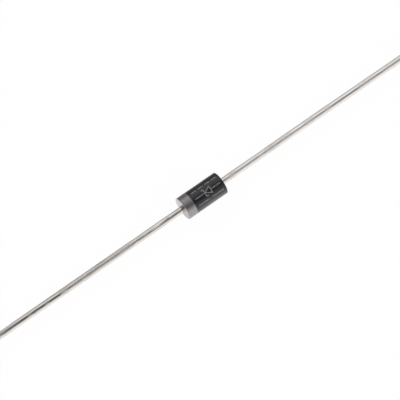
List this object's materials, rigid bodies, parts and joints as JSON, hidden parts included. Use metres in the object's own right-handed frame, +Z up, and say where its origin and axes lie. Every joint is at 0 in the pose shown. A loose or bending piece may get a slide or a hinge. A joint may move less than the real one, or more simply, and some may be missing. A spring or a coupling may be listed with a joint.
{
  "type": "zener diode",
  "caption": "Axial zener diode: black moulded cylinder with a grey cathode band over one end, a straight tinned wire from each end, and a soldered silicon die between nail heads inside.",
  "frame": {"origin": "middle of the moulded body, on the axis of the wires", "axes": "+X along the wires from the cathode to the anode, +Z up, with the print on the upper side, turned a little to -Y"},
  "size_m": [0.0624, 0.0026, 0.0026],
  "materials": {
    "black_resin": "moulded epoxy resin, satin black with a fine mould texture",
    "grey_paint": "satin silver-grey paint with fine metal flake",
    "pale_ink": "thin pale grey printing ink",
    "tinned_wire": "bright tin plating on drawn copper wire",
    "solder": "dull solder",
    "silicon": "dark grey silicon with sawn edges",
    "white_silicone": "soft white silicone"
  },
  "bodies": {
    "root": {"epoxy_body": "black_resin", "cathode_band": "grey_paint", "print_marking": "pale_ink", "cathode_lead": "tinned_wire", "anode_lead": "tinned_wire", "cathode_solder": "solder", "anode_solder": "solder", "zener_die": "silicon", "junction_coating": "white_silicone"}
  },
  "joints": []
}
